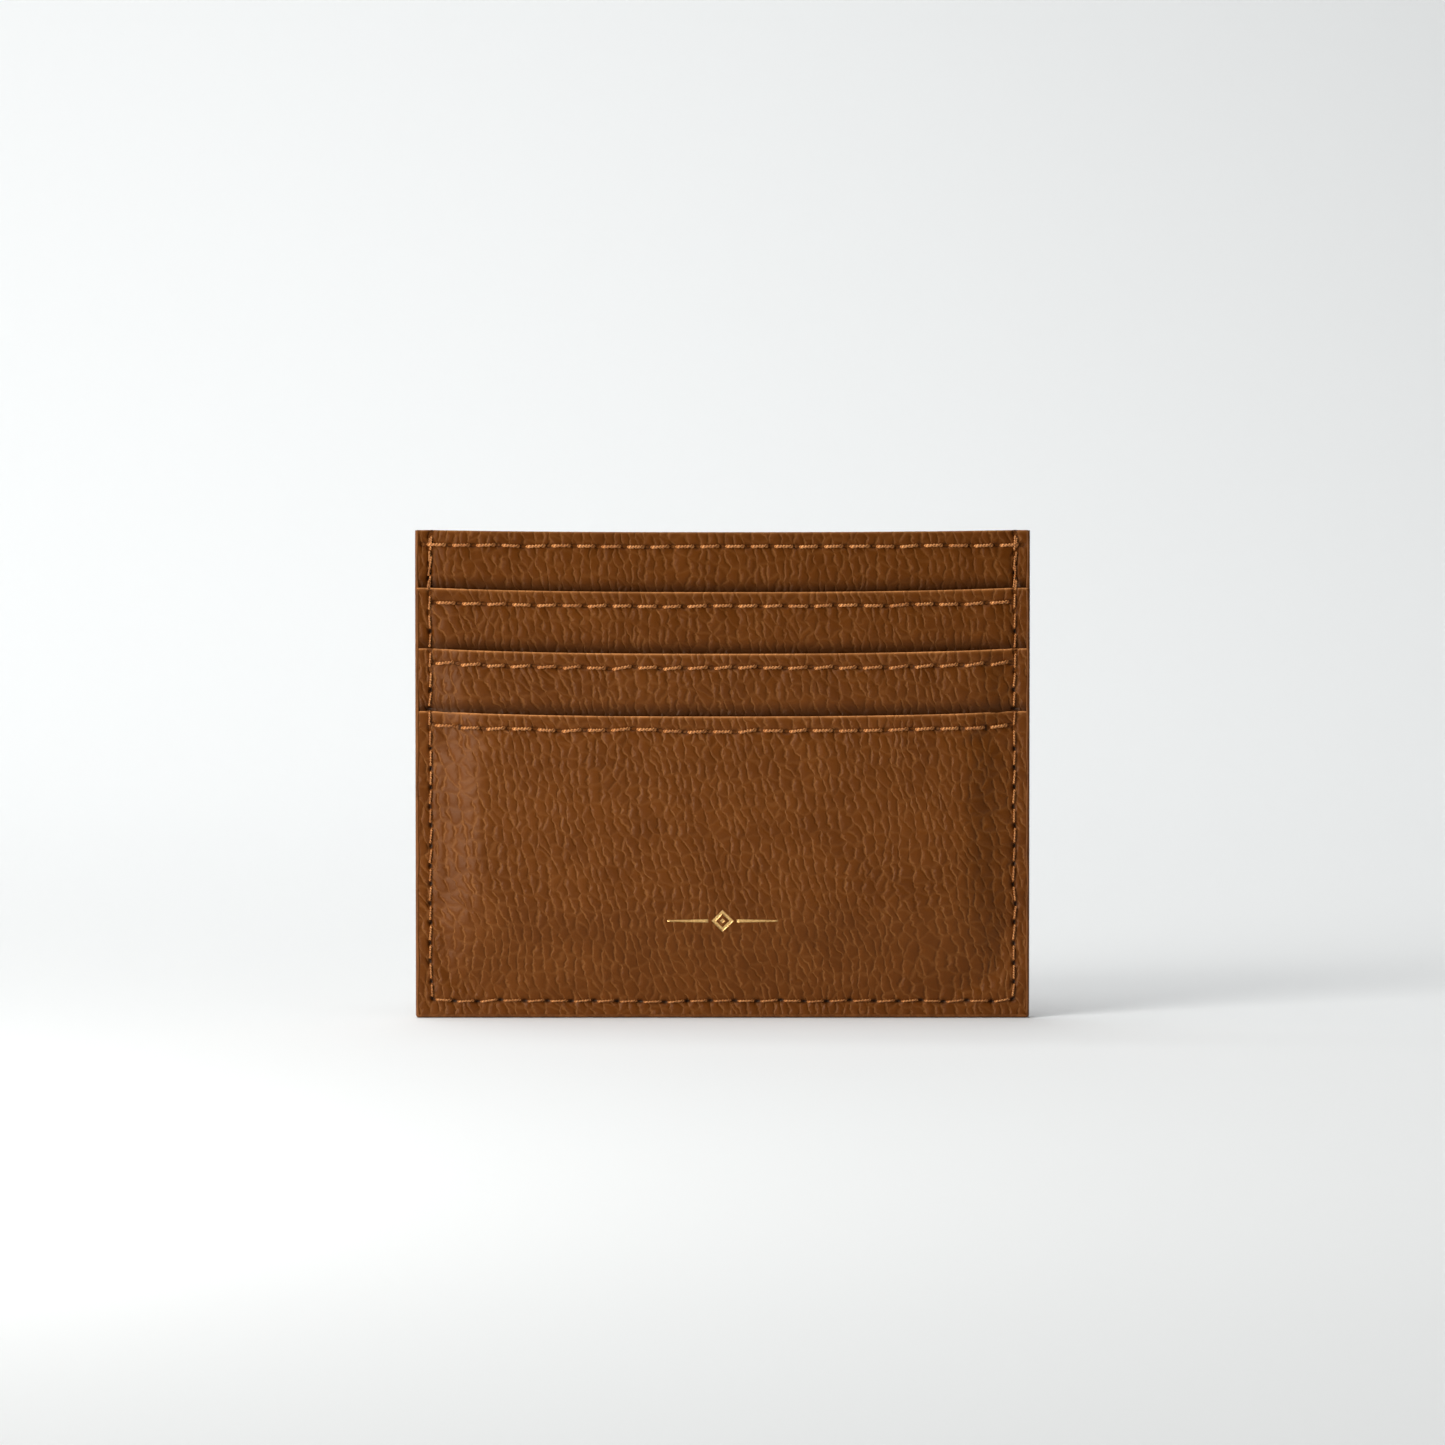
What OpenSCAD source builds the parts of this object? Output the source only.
// Leather card holder: four turned-edge leather layers on each face, a lined
// centre pocket between the two faces, lockstitched and edge-coated round
// three sides. X runs across the mouths, Z up from the bottom edge that it
// stands on, and the front face looks along -Y.
//
// Each face is built in its own "side frame": X and Z as above, and +Y
// pointing out of the holder, so that a layer's depth is its distance from
// the centre plane. on_face() then places it as the front or the back.

/* [Body] */
// Width over the edge coat
holder_w = 100; // [84:0.5:125]
// Height from the bottom edge to the top mouth
holder_h = 79.5; // [64:0.5:100]
// Height of the body panel that shows above the upper slot
top_strip = 9.5; // [6:0.5:12]
// Height of each slot strip that shows below the mouth above it
slot_step = 10; // [7:0.5:13]

/* [Layers] */
// Thickness of the leather, which is the same where its mouth is turned in
leather_t = 0.7; // [0.5:0.05:1.2]
// Thickness of the centre pocket's lining
lining_t = 0.2; // [0.1:0.05:0.4]
// Thickness of the fabric drops behind the slot strips
drop_t = 0.2; // [0.1:0.05:0.3]
// How far the lining stops short of the top mouth
lining_set_back = 0.8; // [0.4:0.1:3]

/* [Pockets] */
// Free depth of each card pocket when it is empty
card_room = 0.2; // [0.1:0.05:0.9]
// Free depth of the centre pocket when it is empty
centre_room = 0.4; // [0.2:0.1:3]
// Width over which a layer rises from its seam to its full depth
rise_w = 3.5; // [2:0.25:6]
// How far a slot strip reaches down behind the layer in front of it
lap_h = 4; // [3:0.5:6]
// Height of the sewn foot at the bottom of a fabric drop
foot_h = 4; // [3:0.5:5]
// Bottom of the middle slot's foot above the bottom edge
lowest_foot_z = 6.5; // [5.5:0.5:8]
// Side gap between a drop's edges and the start of the rise
drop_side_gap = 0.3; // [0.1:0.1:1]

/* [Stitching] */
// Thread diameter
thread_d = 0.45; // [0.3:0.05:0.55]
// Side of the thread's leg, pressed square where it is pulled into its hole
leg_w = 0.26; // [0.16:0.02:0.3]
// Needle hole diameter
needle_d = 0.5; // [0.44:0.02:0.7]
// Pitch of the decorative stitches along a mouth
hem_pitch = 4; // [3:0.25:6]
// Length of one of those stitches
hem_stitch = 2.7; // [1.8:0.1:2.8]
// Distance of those stitches below their mouth
hem_inset = 2.35; // [1.5:0.05:3.5]
// Pitch of the seam stitches round the three closed sides
seam_pitch = 3.7; // [3:0.1:5]
// Length of one seam stitch
seam_stitch = 2.7; // [1.8:0.1:2.8]
// Distance of the side seams from the side edges
side_inset = 2.5; // [1.8:0.1:3.5]
// Distance of the bottom seam from the bottom edge
bottom_inset = 2.8; // [1.8:0.1:3.5]
// Flat leather kept inside the seam before a layer starts to rise
seam_shelf = 1.2; // [0.8:0.1:2]

/* [Edge coat] */
// Thickness of the painted coat on the cut edges
coat_t = 0.3; // [0.15:0.05:0.5]

/* [Foil mark] */
// Width of the plain gold ornament
mark_w = 18; // [10:0.5:30]
// Height of its lozenge
mark_h = 3.6; // [2:0.2:8]
// Width of its foil lines
mark_line = 0.5; // [0.3:0.05:0.8]
// Height of its centre above the bottom edge
mark_z = 16; // [12:0.5:26]
// Depth that it is pressed into the leather
mark_sink = 0.15; // [0.1:0.05:0.25]
// Thickness of the foil film
foil_t = 0.06; // [0.04:0.02:0.1]

/* [Hidden] */
$fn = 32;
eps = 1; // how far a cutting shape runs past the solid that it cuts

// Heights of the mouths, counted down from the top
upper_mouth = holder_h - top_strip;
middle_mouth = upper_mouth - slot_step;
pocket_mouth = middle_mouth - slot_step;

// Plan: the leather ends where the coat starts, and the layers start to rise
// a shelf inside their seams
edge_x = holder_w / 2 - coat_t;
seam_x = holder_w / 2 - side_inset;
shelf_x = seam_x - seam_shelf;
field_x = shelf_x - rise_w;
shelf_z = bottom_inset + seam_shelf;
drop_x = field_x - drop_side_gap;

// Depths of each layer's inner face, at the seam and in the open field
lining_field = centre_room / 2;
body_seam = lining_t;
body_field = lining_field + lining_t;
body_face = body_field + leather_t;
tab_seam = body_seam + leather_t;
seam_face = tab_seam + leather_t;
upper_field = body_face + card_room;
middle_field = upper_field + leather_t + card_room;
pocket_field = middle_field + leather_t + card_room;
pocket_face = pocket_field + leather_t;

// Feet of the drops: the upper slot's stands one step above the middle one's
middle_foot_z = lowest_foot_z;
upper_foot_z = lowest_foot_z + slot_step;

// Stitch counts and places
hem_count = floor((2 * field_x - hem_stitch) / hem_pitch) + 1;
foot_count = floor((2 * drop_x - hem_stitch) / hem_pitch) + 1;
bottom_count = floor((2 * seam_x - 2 * seam_stitch) / seam_pitch) + 1;

leather = [0.47, 0.27, 0.12];
fabric = [0.33, 0.2, 0.11];
thread = [0.76, 0.46, 0.25];
paint = [0.5, 0.3, 0.15];
gold = [0.8, 0.6, 0.3];

function centred(count, pitch) = [for (i = [0 : count - 1]) (i - (count - 1) / 2) * pitch];

// Centres of the stitches that fill the stretch from low to high
function run(low, high) =
    let (count = floor((high - low - seam_stitch) / seam_pitch) + 1)
    [for (c = centred(count, seam_pitch)) (low + high) / 2 + c];

// The side seams stop at the upper mouth and start again on the body panel,
// which lies one layer deeper
lower_run = run(bottom_inset, upper_mouth);
top_run = run(upper_mouth, holder_h);

// Turns a side frame into the front face or the back face
module on_face(face) {
    if (face == "front") mirror([0, 1, 0]) children();
    else children();
}

// ---- Layers -------------------------------------------------------------

// Prism along Z below a face that is level at the seams and rises to the field
module across_block(seam, field, low_z, high_z, back, half_w) {
    translate([0, 0, low_z])
        linear_extrude(high_z - low_z)
            polygon([
                [-half_w, back], [half_w, back],
                [half_w, seam], [shelf_x, seam],
                [field_x, field], [-field_x, field],
                [-shelf_x, seam], [-half_w, seam]
            ]);
}

// Prism along X below a face that rises from the bottom seam to the field
module upright_block(seam, field, low_z, high_z, back, half_w) {
    rotate([90, 0, 90])
        linear_extrude(2 * half_w, center = true)
            polygon([
                [back, low_z], [seam, low_z],
                [seam, shelf_z], [field, shelf_z + rise_w],
                [field, high_z], [back, high_z]
            ]);
}

// Everything between the depth `back` and a face sewn down on three sides
module tray_block(seam, field, low_z, high_z, back, half_w) {
    intersection() {
        across_block(seam, field, low_z, high_z, back, half_w);
        upright_block(seam, field, low_z, high_z, back, half_w);
    }
}

// A sheet whose inner face lies at these depths, sewn down on three sides
module tray(seam, field, t, mouth) {
    difference() {
        tray_block(seam + t, field + t, coat_t, mouth, 0, edge_x);
        tray_block(seam, field, coat_t - eps, mouth + eps, -eps, edge_x + eps);
    }
}

// A slot strip: tabs one step high run out to the seams, and a narrower lap,
// thinned to seat the drop, reaches down behind the layer in front
module slot_strip(field, mouth) {
    low_z = mouth - slot_step;
    difference() {
        across_block(tab_seam + leather_t, field + leather_t, low_z, mouth, 0, edge_x);
        across_block(tab_seam, field, low_z - eps, mouth + eps, -eps, edge_x + eps);
    }
    translate([-drop_x, field + drop_t, low_z - lap_h])
        cube([2 * drop_x, leather_t - drop_t, lap_h]);
}

// A fabric drop: glued in the strip's thinned lap, then down to a foot that
// is sewn to the body panel as the floor of the slot
module drop(field, mouth, foot_z) {
    bend_z = foot_z + foot_h;
    rise_z = bend_z + (field - body_face);
    rotate([90, 0, 90])
        linear_extrude(2 * drop_x, center = true)
            polygon([
                [body_face, foot_z], [body_face + drop_t, foot_z],
                [body_face + drop_t, bend_z], [field + drop_t, rise_z],
                [field + drop_t, mouth - slot_step], [field, mouth - slot_step],
                [field, rise_z], [body_face, bend_z]
            ]);
}

// ---- Stitching ----------------------------------------------------------

// How far a stitch's legs stand from its middle
function leg_x(length) = length / 2 - leg_w;

// One stitch along X on a face at depth `face`, with its legs pulled down
module stitch(face, length, leg) {
    translate([0, face + thread_d / 2, 0])
        rotate([0, 90, 0])
            cylinder(d = thread_d, h = length, center = true);
    for (end = [-1, 1])
        translate([end * leg_x(length) - leg_w / 2, face - leg, -leg_w / 2])
            cube([leg_w, leg + thread_d / 2, leg_w]);
}

// The two needle holes of that stitch, through everything
module needle_pair(length) {
    for (end = [-1, 1])
        translate([end * leg_x(length), pocket_face + eps, 0])
            rotate([90, 0, 0])
                cylinder(d = needle_d, h = pocket_face + 2 * eps);
}

// A level row of stitches or needle holes, centred at height z
module row(count, z) {
    for (x = centred(count, hem_pitch))
        translate([x, 0, z]) children();
}

// The same up both side seams, at these heights
module up_sides(heights) {
    for (side = [-1, 1], z = heights)
        translate([side * seam_x, 0, z]) rotate([0, 90, 0]) children();
}

// The same along the bottom seam
module along_bottom() {
    for (x = centred(bottom_count, seam_pitch))
        translate([x, 0, bottom_inset]) children();
}

function between(heights, low, high) = [for (z = heights) if (z > low && z < high) z];

module hem_holes(mouth) {
    row(hem_count, mouth - hem_inset) needle_pair(hem_stitch);
}

// The seam's needle holes that fall between two heights. A stitch that
// straddles a butted pair of tabs pierces both of them
module side_holes(low, high) {
    reach = seam_stitch / 2;
    up_sides(between(concat(lower_run, top_run), low - reach, high + reach))
        needle_pair(seam_stitch);
}

// ---- Leather ------------------------------------------------------------

module body_panel() {
    color(leather)
        difference() {
            tray(body_seam, body_field, leather_t, holder_h);
            hem_holes(holder_h);
            side_holes(0, holder_h);
            along_bottom() needle_pair(seam_stitch);
            for (z = [middle_foot_z, upper_foot_z])
                row(foot_count, z + foot_h / 2) needle_pair(hem_stitch);
        }
}

module slot(field, mouth) {
    color(leather)
        difference() {
            slot_strip(field, mouth);
            hem_holes(mouth);
            side_holes(mouth - slot_step, mouth);
        }
}

module upper_slot() {
    slot(upper_field, upper_mouth);
}

module middle_slot() {
    slot(middle_field, middle_mouth);
}

module pocket() {
    color(leather)
        difference() {
            tray(tab_seam, pocket_field, leather_t, pocket_mouth);
            hem_holes(pocket_mouth);
            side_holes(0, pocket_mouth);
            along_bottom() needle_pair(seam_stitch);
        }
}

// ---- Fabric -------------------------------------------------------------

module lining() {
    color(fabric)
        difference() {
            tray(0, lining_field, lining_t, holder_h - lining_set_back);
            side_holes(0, holder_h);
            along_bottom() needle_pair(seam_stitch);
        }
}

module sewn_drop(field, mouth, foot_z) {
    color(fabric)
        difference() {
            drop(field, mouth, foot_z);
            row(foot_count, foot_z + foot_h / 2) needle_pair(hem_stitch);
        }
}

// ---- Thread -------------------------------------------------------------

module hem_stitches(face, mouth) {
    color(thread)
        row(hem_count, mouth - hem_inset) stitch(face, hem_stitch, leather_t);
}

// Needle thread on the front, bobbin thread on the back: each face's legs
// meet the other's at the centre plane
module seam_stitches() {
    color(thread) {
        up_sides(lower_run) stitch(seam_face, seam_stitch, seam_face);
        up_sides(top_run) stitch(tab_seam, seam_stitch, tab_seam);
        along_bottom() stitch(seam_face, seam_stitch, seam_face);
    }
}

module foot_stitches() {
    color(thread)
        for (z = [middle_foot_z, upper_foot_z])
            row(foot_count, z + foot_h / 2)
                stitch(body_face + drop_t, hem_stitch, drop_t + leather_t);
}

// ---- Edge coat and foil -------------------------------------------------

// One coat over the cut edges of all the layers, down one side, along the
// bottom and up the other, thinner in depth where only the bodies reach
module edge_coat() {
    color(paint)
        difference() {
            union() {
                translate([-holder_w / 2, -seam_face, 0])
                    cube([holder_w, 2 * seam_face, upper_mouth]);
                translate([-holder_w / 2, -tab_seam, 0])
                    cube([holder_w, 2 * tab_seam, holder_h]);
            }
            translate([-edge_x, -seam_face - eps, coat_t])
                cube([2 * edge_x, 2 * (seam_face + eps), holder_h]);
        }
}

module lozenge(h) {
    polygon([[-h / 2, 0], [0, -h / 2], [h / 2, 0], [0, h / 2]]);
}

// A lozenge ring with a solid centre, between two tapered bars
module mark_outline() {
    bar_start = mark_h / 2 + mark_line;
    difference() {
        lozenge(mark_h);
        lozenge(mark_h - 2.8 * mark_line);
    }
    lozenge(mark_line * 1.6);
    for (side = [-1, 1])
        polygon([
            [side * bar_start, -mark_line / 2], [side * bar_start, mark_line / 2],
            [side * mark_w / 2, mark_line / 4], [side * mark_w / 2, -mark_line / 4]
        ]);
}

// The ornament as a prism on the pocket's face, from one depth to another
module mark_prism(from, to) {
    translate([0, to, mark_z])
        rotate([90, 0, 0])
            linear_extrude(to - from) mark_outline();
}

module marked_pocket() {
    color(leather)
        difference() {
            pocket();
            mark_prism(pocket_face - mark_sink, pocket_face + eps);
        }
}

module foil_mark() {
    floor_y = pocket_face - mark_sink;
    color(gold) mark_prism(floor_y, floor_y + foil_t);
}

// ---- The nodes ----------------------------------------------------------

on_face("front") body_panel();  // front_panel
on_face("front") upper_slot();  // front_upper_slot
on_face("front") middle_slot();  // front_middle_slot
on_face("front") marked_pocket();  // front_pocket
on_face("front") lining();  // front_lining
on_face("front") sewn_drop(upper_field, upper_mouth, upper_foot_z);  // front_upper_drop
on_face("front") sewn_drop(middle_field, middle_mouth, middle_foot_z);  // front_middle_drop
on_face("front") hem_stitches(body_face, holder_h);  // front_panel_stitches
on_face("front") hem_stitches(upper_field + leather_t, upper_mouth);  // front_upper_stitches
on_face("front") hem_stitches(middle_field + leather_t, middle_mouth);  // front_middle_stitches
on_face("front") hem_stitches(pocket_face, pocket_mouth);  // front_pocket_stitches
on_face("front") seam_stitches();  // front_seam_stitches
on_face("front") foot_stitches();  // front_foot_stitches

on_face("back") body_panel();  // back_panel
on_face("back") upper_slot();  // back_upper_slot
on_face("back") middle_slot();  // back_middle_slot
on_face("back") pocket();  // back_pocket
on_face("back") lining();  // back_lining
on_face("back") sewn_drop(upper_field, upper_mouth, upper_foot_z);  // back_upper_drop
on_face("back") sewn_drop(middle_field, middle_mouth, middle_foot_z);  // back_middle_drop
on_face("back") hem_stitches(body_face, holder_h);  // back_panel_stitches
on_face("back") hem_stitches(upper_field + leather_t, upper_mouth);  // back_upper_stitches
on_face("back") hem_stitches(middle_field + leather_t, middle_mouth);  // back_middle_stitches
on_face("back") hem_stitches(pocket_face, pocket_mouth);  // back_pocket_stitches
on_face("back") seam_stitches();  // back_seam_stitches
on_face("back") foot_stitches();  // back_foot_stitches

edge_coat();
on_face("front") foil_mark();
